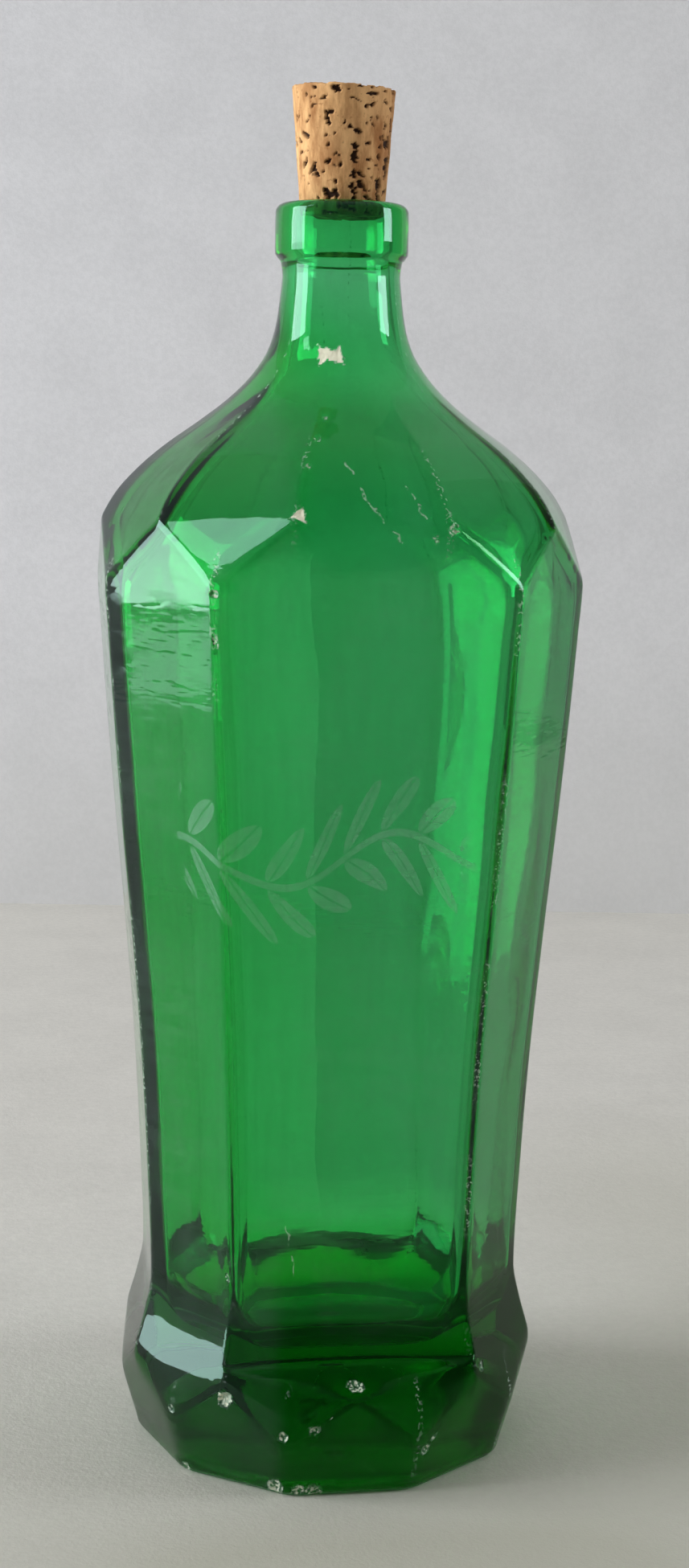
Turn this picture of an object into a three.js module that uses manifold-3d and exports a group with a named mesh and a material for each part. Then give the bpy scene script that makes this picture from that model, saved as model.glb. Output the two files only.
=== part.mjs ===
// A thick-walled, ten-sided seltzer bottle of moulded green glass, closed by a tapered cork.
// Millimetres, +Z up. The origin is the centre of the base, on the table.
// The wide front panel faces -Y and a second wide panel faces +Y.

import * as THREE from 'three';
import { mergeVertices } from 'three/addons/utils/BufferGeometryUtils.js';
import Module from 'manifold-3d';

const wasm = await Module();
wasm.setup();

// Plan of the bottle: ten sides, each drawn with a few columns of points.
const sideCount = 10;
const columnsPerSide = 4;
const columnCount = sideCount * columnsPerSide;
const sideAngle = (2 * Math.PI) / sideCount;
const halfSide = sideAngle / 2;

// Foot: lower facets lean out from the base, upper facets lean back in to the body.
const baseApothem = 38.5;
const footPeakHeight = 22.3;
const footPeakRadius = 44.7;
const footFlareRadius = 50.1;

// Body: widest at the shoulder, waisted above the foot.
const shoulderHeight = 183.5;
const shoulderRadius = 51.0;

// Shoulder and neck: ten facets that melt into a round neck.
const neckHeight = 243.7;
const neckRadius = 12.0;

// Finish: a plain bead with a rounded lip.
const collarHeight = 3.2;
const collarSwell = 0.4;
const beadChamfer = 1.1;
const beadHeight = 11.2;
const lipRounding = 2.0;
const mouthRounding = 0.7;

// Glass: the wall, the thick base and the shallow dome under it.
const wallThickness = 4.5;
const floorHeight = 23.5;
const floorRounding = 15.0;
const pushUpRadius = 26.0;
const pushUpDepth = 3.5;

// Cork: a plain taper, pushed a little way into the mouth.
const corkLength = 26.5;
const corkTopRadius = 10.55;
const corkBottomRadius = 8.5;
const corkDepth = 3.1;
const corkClearance = 0.35;
const corkTopWear = 0.7;
const corkBottomWear = 0.4;

// Every cutting or overlapping body runs past its neighbour by this much.
const overrun = 2.0;

// A wide panel spans two sides. Its middle stands at flatShare of the corners' radius where the
// panel is flat, and at fullShare where it swells out to meet the shoulder's facet above it.
const flatShare = Math.cos(sideAngle);
const fullShare = Math.cos(halfSide) ** 2;

// Body levels between the foot's peaks and the shoulder's notches: share of that height, corner
// radius as a share of the shoulder radius, and the wide panels' middle as a share of that.
const bodyShares = [
  [0.025, 0.853, flatShare],
  [0.052, 0.828, flatShare],
  [0.099, 0.799, flatShare],
  [0.249, 0.817, flatShare],
  [0.399, 0.844, 0.812],
  [0.55, 0.884, 0.82],
  [0.7, 0.929, 0.832],
  [0.85, 0.968, 0.85],
  [0.925, 0.985, 0.864],
  [1, 1, 0.884],
];

// Shoulder levels between the notches and the neck: share of that height, share of the way
// from the neck's radius out to the shoulder's, and how far the ten sides have become round.
const shoulderShares = [
  [0, 1, 0],
  [0.086, 0.948, 0],
  [0.192, 0.878, 0],
  [0.273, 0.809, 0],
  [0.356, 0.703, 0.05],
  [0.436, 0.571, 0.2],
  [0.518, 0.405, 0.4],
  [0.599, 0.255, 0.65],
  [0.68, 0.142, 0.9],
  [0.76, 0.068, 1],
  [0.84, 0.031, 1],
  [0.92, 0.013, 1],
  [1, 0, 1],
];

// The straight body keeps clear of the shoulder's facets by this share of its radius.
const bodyOpenShare = 1.08;

// The floor of the hollow: share of its rounding height, and share of the wall's radius there.
const floorShares = [
  [0, 0.56],
  [0.06, 0.7],
  [0.2, 0.82],
  [0.45, 0.92],
  [0.75, 0.98],
  [1, 1],
];

// The hollow's corners are softer than the mould's: its radius is a mean over this much angle.
const softeningAngle = 0.3 * sideAngle;
const softeningShares = [-1, -0.5, 0, 0.5, 1];

// Directions in which the wall's thickness is measured, as rise over thickness.
const riseShares = [0, 0.4, 0.7, 0.9];

const lipHeight = neckHeight + collarHeight + beadHeight;
const beadRadius = neckRadius + collarSwell + beadChamfer;

function bodyRows() {
  const span = shoulderHeight - footPeakHeight;
  const flare = [0, footFlareRadius, footFlareRadius];
  const peak = [footPeakHeight, footPeakRadius, footPeakRadius];
  const rows = bodyShares.map(([heightShare, radiusShare, middleShare]) => {
    const corner = shoulderRadius * radiusShare;
    return [footPeakHeight + span * heightShare, corner, corner * middleShare];
  });
  const ridgeFeet = shoulderHeight + (neckHeight - shoulderHeight) * shoulderShares[2][0];
  const fullRadius = shoulderRadius * fullShare;
  const upright = [ridgeFeet, lipHeight + overrun].map((height) => [height, shoulderRadius, fullRadius]);
  return [flare, peak, ...rows, ...upright];
}

function facetRows() {
  const lean = footPeakRadius - baseApothem;
  const openRadius = shoulderRadius * bodyOpenShare;
  const rise = neckHeight - shoulderHeight;
  const reach = shoulderRadius - neckRadius;
  const foot = [
    [0, baseApothem, 0],
    [footPeakHeight, footPeakRadius, 0],
    [2 * footPeakHeight, footPeakRadius + lean, 0],
  ];
  const nextShare = shoulderShares[1];
  const openDrop = (rise * nextShare[0] * (openRadius - shoulderRadius)) / (reach * (1 - nextShare[1]));
  const open = [
    [2.5 * footPeakHeight, openRadius, 0],
    [shoulderHeight - openDrop, openRadius, 0],
  ];
  const shoulder = shoulderShares.slice(1).map(([heightShare, radiusShare, roundShare]) => [
    shoulderHeight + rise * heightShare,
    neckRadius + reach * radiusShare,
    roundShare,
  ]);
  const collarTop = neckHeight + collarHeight;
  const collar = [
    [collarTop, neckRadius + collarSwell, 1],
    [collarTop + overrun, neckRadius + collarSwell, 1],
  ];
  return [...foot, ...open, ...shoulder, ...collar];
}

const bodyLevels = bodyRows();
const facetLevels = facetRows();

// Reads one column of a table of levels at any height, in straight lines between its rows.
function levelValue(levels, height, column) {
  const upper = levels.findIndex((row) => row[0] >= height);
  if (upper === 0) return levels[0][column];
  if (upper < 0) return levels[levels.length - 1][column];
  const [low, high] = [levels[upper - 1], levels[upper]];
  const share = (height - low[0]) / (high[0] - low[0]);
  return THREE.MathUtils.lerp(low[column], high[column], share);
}

// The body's outline has a point at every half side from the front panel's middle: a corner at
// each even step and the middle of a side at each odd one. The wide panels lie about 0 and 180
// degrees, where the corner is taken back to the panel's middle.
function bodyPointRadius(step, height) {
  const corner = levelValue(bodyLevels, height, 1);
  const middle = levelValue(bodyLevels, height, 2);
  const turn = THREE.MathUtils.euclideanModulo(step, sideCount);
  const stepsFromMiddle = Math.min(turn, sideCount - turn);
  if (stepsFromMiddle === 0) return middle;
  const sideMiddle = corner * Math.cos(halfSide);
  if (stepsFromMiddle === 1) return Math.min(middle / Math.cos(halfSide), sideMiddle);
  return stepsFromMiddle % 2 === 0 ? corner : sideMiddle;
}

function bodyRadius(angle, height) {
  const step = Math.floor(angle / halfSide);
  const past = angle - step * halfSide;
  const near = bodyPointRadius(step, height);
  const far = bodyPointRadius(step + 1, height);
  return (near * far * Math.sin(halfSide)) / (near * Math.sin(past) + far * Math.sin(halfSide - past));
}

// The shoulder's and foot's facets face the body's corners, half a side away from its panels.
function facetRadius(angle, height) {
  const normalAngle = Math.round(angle / sideAngle) * sideAngle;
  const apothem = levelValue(facetLevels, height, 1);
  const roundShare = levelValue(facetLevels, height, 2);
  return THREE.MathUtils.lerp(apothem / Math.cos(angle - normalAngle), apothem, roundShare);
}

function outerRadius(angle, height) {
  return Math.min(bodyRadius(angle, height), facetRadius(angle, height));
}

function softenedRadius(angle, height) {
  const radii = softeningShares.map((share) => outerRadius(angle + share * softeningAngle, height));
  return radii.reduce((sum, radius) => sum + radius, 0) / radii.length;
}

// The hollow stays one wall's thickness inside the glass, measured level and slanting upward.
function hollowRadius(angle, height) {
  const wallHeight = Math.max(height, floorHeight + floorRounding);
  const radii = riseShares.map((share) => {
    const inset = wallThickness * Math.sqrt(1 - share * share);
    return softenedRadius(angle, wallHeight + wallThickness * share) - inset;
  });
  return Math.max(Math.min(...radii), boreRadius());
}

function corkRadiusAt(depthFromBottom) {
  return THREE.MathUtils.lerp(corkBottomRadius, corkTopRadius, depthFromBottom / corkLength);
}

function boreRadius() {
  return corkRadiusAt(corkDepth) + corkClearance;
}

function ringPoint(angle, radius, height) {
  return new THREE.Vector3(radius * Math.sin(angle), -radius * Math.cos(angle), height);
}

function ring(count, radiusAt, height) {
  return Array.from({ length: count }, (_, index) => {
    const angle = (index * 2 * Math.PI) / count;
    return ringPoint(angle, radiusAt(angle), height);
  });
}

// Skins a stack of rings with equal counts, from the lowest up, and closes both ends.
function loft(rings) {
  const count = rings[0].length;
  const points = rings.flat();
  const triangles = [];
  for (let level = 0; level < rings.length - 1; level += 1) {
    for (let index = 0; index < count; index += 1) {
      const next = (index + 1) % count;
      const [low, high] = [level * count, (level + 1) * count];
      const corners = [low + index, low + next, high + next, high + index];
      triangles.push(...splitQuad(corners, index, count));
    }
  }
  closeEnd(points, triangles, 0, count, false);
  closeEnd(points, triangles, (rings.length - 1) * count, count, true);
  const geometry = new THREE.BufferGeometry().setFromPoints(points);
  geometry.setIndex(triangles);
  return geometry;
}

// Splits along the diagonal that keeps the left and right, and the front and back, alike.
function splitQuad([lowNear, lowFar, highFar, highNear], index, count) {
  const quarter = Math.floor((4 * (index + 0.5)) / count);
  if (quarter % 2 === 0) return [lowNear, lowFar, highFar, lowNear, highFar, highNear];
  return [lowNear, lowFar, highNear, lowFar, highFar, highNear];
}

function closeEnd(points, triangles, first, count, facesUp) {
  const centre = points.length;
  points.push(new THREE.Vector3(0, 0, points[first].z));
  for (let index = 0; index < count; index += 1) {
    const next = (index + 1) % count;
    const pair = facesUp ? [first + index, first + next] : [first + next, first + index];
    triangles.push(centre, ...pair);
  }
}

// A lathe turned about +Z from an outline of [radius, height] pairs that ends on the axis.
function turned(outline, segments) {
  const points = outline.map(([radius, height]) => new THREE.Vector2(radius, height));
  return new THREE.LatheGeometry(points, segments).rotateX(Math.PI / 2);
}

function solid(geometry) {
  const bare = geometry.clone();
  bare.deleteAttribute('normal');
  bare.deleteAttribute('uv');
  const merged = mergeVertices(bare);
  const vertProperties = new Float32Array(merged.attributes.position.array);
  const triVerts = new Uint32Array(merged.index.array);
  return new wasm.Manifold(new wasm.Mesh({ numProp: 3, vertProperties, triVerts }));
}

function meshGeometry(body) {
  const { vertProperties, triVerts } = body.getMesh();
  const geometry = new THREE.BufferGeometry();
  geometry.setAttribute('position', new THREE.BufferAttribute(vertProperties, 3));
  geometry.setIndex(new THREE.BufferAttribute(triVerts, 1));
  geometry.computeVertexNormals();
  return geometry;
}

function quarterArc(centreRadius, centreHeight, rounding, steps) {
  return Array.from({ length: steps + 1 }, (_, index) => {
    const angle = (index / steps) * (Math.PI / 2);
    return [centreRadius + rounding * Math.cos(angle), centreHeight + rounding * Math.sin(angle)];
  });
}

// The panelled body, drawn with two points to a side and run on past the base and the lip.
function panelledBody() {
  const heights = [-overrun, ...bodyLevels.map(([height]) => height)];
  const rings = heights.map((height) => {
    const pointAt = (angle) => bodyPointRadius(Math.round(angle / halfSide), height);
    return ring(2 * sideCount, pointAt, height);
  });
  return solid(loft(rings));
}

// The facets of the foot and shoulder, and the neck that the shoulder turns into.
function facetedEnds() {
  const rings = facetLevels.map(([height]) => {
    const facetAt = (angle) => facetRadius(angle, height);
    return ring(columnCount, facetAt, height);
  });
  return solid(loft(rings));
}

function bead() {
  const bottom = neckHeight + collarHeight;
  const outline = [
    [0, bottom],
    [neckRadius + collarSwell, bottom],
    [beadRadius, bottom + beadChamfer],
    ...quarterArc(beadRadius - lipRounding, lipHeight - lipRounding, lipRounding, 5),
    [0, lipHeight],
  ];
  return solid(turned(outline, columnCount));
}

function levelHeights(levels, low, high) {
  return levels.map(([height]) => height).filter((height) => height > low && height <= high);
}

// The hollow has a ring at each level of the floor's rounding, the body and the shoulder.
function hollowHeights() {
  const floor = floorShares.map(([share]) => floorHeight + floorRounding * share);
  const wallFoot = floorHeight + floorRounding + overrun;
  const walls = levelHeights(bodyLevels, wallFoot, shoulderHeight);
  const shoulder = levelHeights(facetLevels, shoulderHeight, neckHeight - overrun);
  return [...floor, ...walls, ...shoulder];
}

// The inside of the bottle: a rounded floor, soft corners, and a round bore through the mouth.
function hollow() {
  const rings = hollowHeights().map((height) => {
    const floorShare = levelValue(floorShares, (height - floorHeight) / floorRounding, 1);
    return ring(columnCount, (angle) => floorShare * hollowRadius(angle, height), height);
  });
  const bore = boreRadius();
  const mouth = [
    [neckHeight, bore],
    [lipHeight - mouthRounding, bore],
    [lipHeight, bore + mouthRounding],
    [lipHeight + overrun, bore + mouthRounding],
  ];
  const mouthRings = mouth.map(([height, radius]) => ring(columnCount, () => radius, height));
  return solid(loft([...rings, ...mouthRings]));
}

// The shallow dome under the base leaves a flat ring for the bottle to stand on.
function pushUp() {
  const outline = [[0, -overrun], [pushUpRadius, -overrun], [pushUpRadius, 0]];
  for (let step = 1; step <= 4; step += 1) {
    const angle = (step / 4) * (Math.PI / 2);
    outline.push([pushUpRadius * Math.cos(angle), pushUpDepth * Math.sin(angle)]);
  }
  outline[outline.length - 1][0] = 0;
  return solid(turned(outline, columnCount));
}

function glassBottle() {
  const outside = panelledBody().intersect(facetedEnds()).add(bead());
  const glass = outside.subtract(hollow()).subtract(pushUp());
  const material = new THREE.MeshStandardMaterial({ color: 0x1f8a45, roughness: 0.05, metalness: 0 });
  const mesh = new THREE.Mesh(meshGeometry(glass), material);
  mesh.name = 'glass_bottle';
  return mesh;
}

function cork() {
  const topWear = quarterArc(corkTopRadius - corkTopWear, corkLength - corkTopWear, corkTopWear, 3);
  const outline = [
    [0, 0],
    [corkBottomRadius - corkBottomWear, 0],
    [corkRadiusAt(corkBottomWear), corkBottomWear],
    ...topWear,
    [0, corkLength],
  ];
  const material = new THREE.MeshStandardMaterial({ color: 0xb98a5e, roughness: 0.9, metalness: 0 });
  const mesh = new THREE.Mesh(turned(outline, columnCount), material);
  mesh.name = 'cork';
  mesh.position.z = lipHeight - corkDepth;
  return mesh;
}

const seltzerBottle = new THREE.Group();
seltzerBottle.add(glassBottle(), cork());

export default seltzerBottle;
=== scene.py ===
# A seltzer bottle of thick green glass with a tapered cork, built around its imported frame.
import math

import bmesh
import bpy
import numpy as np
from bpy.props import FloatProperty, FloatVectorProperty, PointerProperty
from bpy.types import Operator, Panel, PropertyGroup
from mathutils import Matrix, Vector, noise


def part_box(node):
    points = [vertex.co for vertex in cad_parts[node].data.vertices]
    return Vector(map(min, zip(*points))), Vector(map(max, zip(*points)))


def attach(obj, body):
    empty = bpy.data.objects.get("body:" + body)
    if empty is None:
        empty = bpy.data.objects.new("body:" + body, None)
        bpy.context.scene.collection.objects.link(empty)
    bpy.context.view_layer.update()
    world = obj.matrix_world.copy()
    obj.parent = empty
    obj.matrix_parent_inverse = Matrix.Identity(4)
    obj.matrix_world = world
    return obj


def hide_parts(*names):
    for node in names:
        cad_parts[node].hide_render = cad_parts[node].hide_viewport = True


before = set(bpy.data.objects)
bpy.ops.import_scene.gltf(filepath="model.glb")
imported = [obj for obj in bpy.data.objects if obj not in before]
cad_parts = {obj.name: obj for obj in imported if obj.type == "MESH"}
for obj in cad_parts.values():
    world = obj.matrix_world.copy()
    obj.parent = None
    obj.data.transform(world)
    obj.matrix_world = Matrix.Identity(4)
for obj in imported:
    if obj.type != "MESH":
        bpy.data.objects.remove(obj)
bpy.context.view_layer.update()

bl_info = {
    "name": "Seltzer Bottle",
    "version": (1, 0, 0),
    "blender": (4, 5, 0),
    "location": "View3D > Sidebar > Bottle",
    "description": "Builds a ten-sided green glass seltzer bottle, its cork and a plain stage",
    "category": "Add Mesh",
}

# All lengths are in metres, as in the frame.
MM = 0.001
GLASS_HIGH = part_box("glass_bottle")[1]
CORK_LOW, CORK_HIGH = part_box("cork")

SIDES = 10
SIDE = 2 * math.pi / SIDES
HALF_SIDE = SIDE / 2

# The body between the foot's peaks and the shoulder's notches: share of that height, corner
# radius as a share of the shoulder radius, and the wide panels' middle as a share of that.
FLAT_SHARE = math.cos(SIDE)
BODY_SHARES = (
    (0.025, 0.853, FLAT_SHARE),
    (0.052, 0.828, FLAT_SHARE),
    (0.099, 0.799, FLAT_SHARE),
    (0.249, 0.817, FLAT_SHARE),
    (0.399, 0.844, 0.812),
    (0.55, 0.884, 0.82),
    (0.7, 0.929, 0.832),
    (0.85, 0.968, 0.85),
    (0.925, 0.985, 0.864),
    (1, 1, 0.884),
)

# The shoulder between the notches and the neck: share of that height, share of the way from
# the neck's radius out to the shoulder's, and how far the ten sides have become round.
SHOULDER_SHARES = (
    (0, 1, 0),
    (0.086, 0.948, 0),
    (0.192, 0.878, 0),
    (0.273, 0.809, 0),
    (0.356, 0.703, 0.05),
    (0.436, 0.571, 0.2),
    (0.518, 0.405, 0.4),
    (0.599, 0.255, 0.65),
    (0.68, 0.142, 0.9),
    (0.76, 0.068, 1),
    (0.84, 0.031, 1),
    (0.92, 0.013, 1),
    (1, 0, 1),
)

# The floor of the hollow: share of its rounding height, and share of the wall's radius there.
FLOOR_SHARES = (
    (0, 0.5),
    (0.02, 0.58),
    (0.08, 0.68),
    (0.2, 0.8),
    (0.45, 0.915),
    (0.75, 0.98),
    (1, 1),
)

# Columns of the skin, as shares of half a side, which crowd together at each corner and ridge.
COLUMN_SHARES = (0, 0.03, 0.065, 0.11, 0.2, 0.35, 0.5, 0.65, 0.8, 0.89, 0.935, 0.97)

# Chips out of the glass: degrees round from the front, height, radius and depth in millimetres,
# and how white the broken glass is, which is 1 for a painted glint: a cream patch that stands in
# for a window's reflection.
CHIPS = (
    (-35.8, 182.5, 1.1, 0.5, 0.8),
    (-35.5, 173.5, 1, 0.5, 0.7),
    (19, 195, 1.3, 0.5, 0.75),
    # The next three, white as can be, are painted glints: cream patches on the shoulder's ridge and the
    # neck that stand in for a window's reflection.
    (-17.2, 197.6, 1.1, 0.3, 1),
    (-19, 228, 1.5, 0.15, 1),
    (-11.5, 227.3, 1.4, 0.15, 1),
    (-16.5, 206.5, 0.7, 0.3, 0.7),
    (-15.8, 211.5, 0.8, 0.3, 0.6),
    (-14.3, 215.5, 0.7, 0.3, 0.6),
    (15, 193.2, 0.6, 0.3, 0.8),
    (-37.8, 44.5, 0.7, 0.3, 0.9),
    (-35.8, 20.6, 1.9, 0.7, 0.95),
    (0.8, 24.2, 1.8, 0.5, 0.85),
    (-19, 14.2, 1.2, 0.4, 0.8),
    (-10.8, 16.2, 1.1, 0.4, 0.7),
    (20.5, 9.8, 1.3, 0.5, 0.8),
    (23, 12, 0.8, 0.3, 0.8),
    (-22, 1.4, 2.2, 0.6, 0.8),
    (-16, 1.5, 1.6, 0.5, 0.8),
    (-11, 1.4, 2, 0.6, 0.75),
    (-52.8, 1.2, 1.2, 0.4, 0.7),
    (-54, 14.5, 1, 0.4, 0.6),
    (39, 24.2, 1, 0.3, 0.6),
    (92, 183, 1.4, 0.5, 0.7),
    (144, 22, 1.8, 0.6, 0.8),
    (-126, 1, 2.2, 0.5, 0.8),
    (198, 15, 1.5, 0.4, 0.7),
)

# Scratches and cracks: degrees round and height at each end, and width, in millimetres.
SCRATCHES = (
    (-21.5, 55.2, -19, 44.2, 0.25),
    (-6.5, 207.3, -1, 200, 0.4),
    (-1, 200, 6.8, 192.5, 0.35),
    (9, 203, 13, 197, 0.3),
    (0.8, 24, -7, 18.5, 0.25),
)


def length_of(name, description, millimetres):
    return FloatProperty(name=name, description=description, default=millimetres * MM, unit="LENGTH")


def colour_of(name, description, default):
    return FloatVectorProperty(
        name=name, description=description, subtype="COLOR", default=default, min=0, max=1)


class BottleSettings(PropertyGroup):
    shoulder_radius: length_of("Shoulder radius", "Radius of the body's corners at the shoulder", 51)
    shoulder_height: length_of("Shoulder height", "Height of the notches where the body's edges end", 183.5)
    foot_height: length_of("Foot height", "Height of the foot's peaks", 22.3)
    foot_radius: length_of("Foot radius", "Radius of the foot's peaks", 44.7)
    base_apothem: length_of("Base apothem", "Distance from the axis to the base's straight edges", 38.5)
    neck_height: length_of("Neck height", "Height of the top of the neck, below the bead", 243.7)
    neck_radius: length_of("Neck radius", "Outer radius of the neck", 12)
    bead_radius: length_of("Bead radius", "Outer radius of the bead round the mouth", 13.5)
    bore_radius: length_of("Bore radius", "Radius of the bore through the neck", 9.1)
    wall: length_of("Wall", "Thickness of the glass", 4.5)
    floor_height: length_of("Floor height", "Height of the floor of the hollow", 23.5)
    tint: colour_of("Glass tint", "Colour that the glass keeps as it gets thicker", (0.0, 0.91, 0.44))
    density: FloatProperty(
        name="Tint density", description="How quickly the glass darkens with its thickness",
        default=340, min=0)


class CorkSettings(PropertyGroup):
    pale: colour_of("Pale cork", "Colour of the cork's sound wood", (0.94, 0.54, 0.24))
    brown: colour_of("Brown cork", "Colour of the cork's darker grain", (0.38, 0.155, 0.05))
    pit: colour_of("Pits", "Colour inside the cork's pits", (0.035, 0.015, 0.008))
    pit_depth: length_of("Pit depth", "Depth of the deepest pits", 0.7)


class StageSettings(PropertyGroup):
    wall_colour: colour_of("Wall", "Colour of the wall behind the bottle", (0.815, 0.795, 0.815))
    floor_colour: colour_of("Floor", "Colour of the surface the bottle stands on", (0.73, 0.7, 0.65))
    lens: FloatProperty(
        name="Lens", description="Focal length on a 36 mm frame, in millimetres",
        default=53.97, min=1)
    distance: length_of("Camera distance", "Level distance from the camera to the bottle's axis", 486.5)
    height: length_of("Camera height", "Height of the camera above the table", 215.2)
    window_radiance: FloatProperty(
        name="Window radiance", description="How bright the windows look",
        default=11, min=0)
    room_strength: FloatProperty(
        name="Room strength", description="How bright the rest of the room is",
        default=0.575, min=0)


class Curve:
    """A smooth curve through points, which never runs past the values of its neighbours."""

    def __init__(self, points):
        self.places = np.array([place for place, value in points], float)
        self.values = np.array([value for place, value in points], float)
        steps = np.diff(self.places)
        rises = np.diff(self.values) / steps
        slopes = np.zeros(len(points))
        slopes[0] = rises[0]
        slopes[-1] = rises[-1]
        for index in range(1, len(points) - 1):
            before, after = rises[index - 1], rises[index]
            if before * after > 0:
                slopes[index] = 2 * before * after / (before + after)
        self.slopes = slopes

    def at(self, place):
        place = np.clip(place, self.places[0], self.places[-1])
        index = np.clip(np.searchsorted(self.places, place) - 1, 0, len(self.places) - 2)
        step = self.places[index + 1] - self.places[index]
        share = (place - self.places[index]) / step
        rest = 1 - share
        start = rest * rest * (1 + 2 * share) * self.values[index]
        end = share * share * (1 + 2 * rest) * self.values[index + 1]
        leave = share * rest * rest * step * self.slopes[index]
        arrive = share * share * rest * step * self.slopes[index + 1]
        return start + end + leave - arrive


def smooth_min(first, second, width):
    near = np.clip(width - np.abs(first - second), 0, None) / width
    return np.minimum(first, second) - near * near * width / 4


def smooth_max(first, second, width):
    return -smooth_min(-first, -second, width)


def smooth_step(low, high, value):
    share = np.clip((value - low) / (high - low), 0, 1)
    return share * share * (3 - 2 * share)


def from_wide_panel(angle):
    """How far an angle is from the middle of the front or back panel, whichever is nearer."""
    return np.abs(np.mod(angle + math.pi / 2, math.pi) - math.pi / 2)


def spread(low, high, count):
    return [low + (high - low) * (index + 1) / count for index in range(count)]


def unevenness(place, waves):
    """A sum of noises, each with its own height and fineness."""
    return sum(height * noise.noise(place * fineness) for height, fineness in waves)


def clipped(value):
    return min(1, max(0, value))


class GlassShape:
    """The outside of the glass, or its hollow, as a radius over angle and height.

    Angles run from the middle of the front panel, towards the right as seen from the front."""

    EDGE = 0.5 * MM
    HOLLOW_EDGE = 2.2 * MM
    FOOT_EDGE = 1.8 * MM
    FRONT_MELT = 5 * MM
    MELT_SPAN = (0.5 * HALF_SIDE, 1.05 * HALF_SIDE)
    CREASE = 2.0 * MM
    LEDGE_EDGE = 1.6 * MM
    FLARE_RADIUS = 50.1 * MM
    OUT_OF_THE_WAY = 2 * FLARE_RADIUS
    BORE_BLEND = 2 * MM
    WIDE_PANEL_END = 1.4 * SIDE
    WIDE_PANEL_LIMIT = 1.5 * SIDE
    SIDE_CORNERS = (1.6 * SIDE, 1.9 * SIDE)
    SIDE_CRISPNESS = 0.7
    WALL_SHARE = 0.97
    WALL_SWING = 0.28
    COLLAR = 3.2 * MM
    LIP_ROUNDING = 2.0 * MM
    MOUTH_ROUNDING = 0.9 * MM
    FLOOR_ROUNDING = 15 * MM
    PUSH_UP_RADIUS = 26 * MM
    PUSH_UP_DEPTH = 3.5 * MM
    BASE_ROUNDING = 1.6 * MM
    SLANTS = (0, 0.25, 0.5, 0.7, 0.85, 0.95)
    HALVINGS = 24

    def __init__(self, settings, hollow=False):
        self.settings = settings
        self.hollow = hollow
        self.edge = self.HOLLOW_EDGE if hollow else self.EDGE
        self.lip = GLASS_HIGH.z
        span = settings.shoulder_height - settings.foot_height
        rows = [(settings.foot_height + span * share, corner, middle)
                for share, corner, middle in BODY_SHARES]
        corners = [(height, settings.shoulder_radius * corner) for height, corner, middle in rows]
        rise = settings.neck_height - settings.shoulder_height
        reach = settings.shoulder_radius - settings.neck_radius
        ridge_feet = settings.shoulder_height + rise * SHOULDER_SHARES[2][0]
        foot = [(0.0, self.FLARE_RADIUS), (settings.foot_height, settings.foot_radius)]
        self.corner = Curve(foot + corners + [(ridge_feet, settings.shoulder_radius)])
        middles = [(height, middle) for height, corner, middle in rows]
        self.middle_share = Curve(middles + [(ridge_feet, math.cos(HALF_SIDE) ** 2)])
        self.ledge_height = rows[0][0]
        self.ledge_apothem = settings.shoulder_radius * BODY_SHARES[0][1] * FLAT_SHARE
        drop = self.ledge_height - settings.foot_height
        self.ledge_slope = (settings.foot_radius - self.ledge_apothem) / drop
        self.foot_slope = (settings.foot_radius - settings.base_apothem) / settings.foot_height
        apothems = [(settings.shoulder_height + rise * share, settings.neck_radius + reach * out)
                    for share, out, roundness in SHOULDER_SHARES]
        below = apothems[0][0] - (apothems[1][0] - apothems[0][0])
        self.apothem = Curve([(below, 2 * apothems[0][1] - apothems[1][1])] + apothems)
        self.roundness = Curve([(settings.shoulder_height + rise * share, roundness)
                                for share, out, roundness in SHOULDER_SHARES])

    def wall(self, angle):
        """The blown wall is thicker on its left than on its right."""
        if not self.hollow:
            return 0 * angle
        return self.settings.wall * (self.WALL_SHARE - self.WALL_SWING * np.sin(angle))

    def panels(self, angle, height):
        """Ten equal panels that meet at rounded corners."""
        edge = self.edge
        if self.hollow:
            aside = smooth_step(*self.SIDE_CORNERS, from_wide_panel(angle))
            edge = self.edge * (1 - self.SIDE_CRISPNESS * aside)
        apothem = self.corner.at(height) * math.cos(HALF_SIDE) - self.wall(angle)
        turn = np.mod(angle, SIDE) - HALF_SIDE
        here = apothem / np.cos(turn)
        after = apothem / np.cos(turn - SIDE)
        before = apothem / np.cos(turn + SIDE)
        return smooth_min(smooth_min(here, after, edge), before, edge)

    def wide_panel(self, angle, height):
        """A panel over two sides, with a ledge at its foot and a middle that swells at its top."""
        wall = self.wall(angle)
        turn = np.minimum(from_wide_panel(angle), self.WIDE_PANEL_LIMIT)
        level = np.maximum(height, self.ledge_height)
        corner = self.corner.at(level)
        middle = corner * self.middle_share.at(level)
        near = middle / math.cos(HALF_SIDE)
        width = np.sqrt(near ** 2 + corner ** 2 - 2 * near * corner * math.cos(HALF_SIDE))
        distance = near * corner * math.sin(HALF_SIDE) / width
        facing = HALF_SIDE - np.arccos(np.clip(distance / near, -1, 1))
        strip = (distance - wall) / np.cos(turn - facing)
        panel = smooth_min((middle - wall) / np.cos(turn), strip, self.CREASE)
        ledge_apothem = self.ledge_apothem + self.ledge_slope * (self.ledge_height - height)
        ledge = (ledge_apothem - wall) / np.cos(turn)
        both = smooth_max(panel, ledge, self.LEDGE_EDGE)
        return np.where(turn < self.WIDE_PANEL_END, both, self.OUT_OF_THE_WAY)

    def body(self, angle, height):
        return smooth_min(self.panels(angle, height), self.wide_panel(angle, height), self.edge)

    def facet(self, apothem, angle, edge):
        turn = np.mod(angle + HALF_SIDE, SIDE) - HALF_SIDE
        here = apothem / np.cos(turn)
        beside = apothem / np.cos(np.abs(turn) - SIDE)
        return smooth_min(here, beside, edge)

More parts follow.
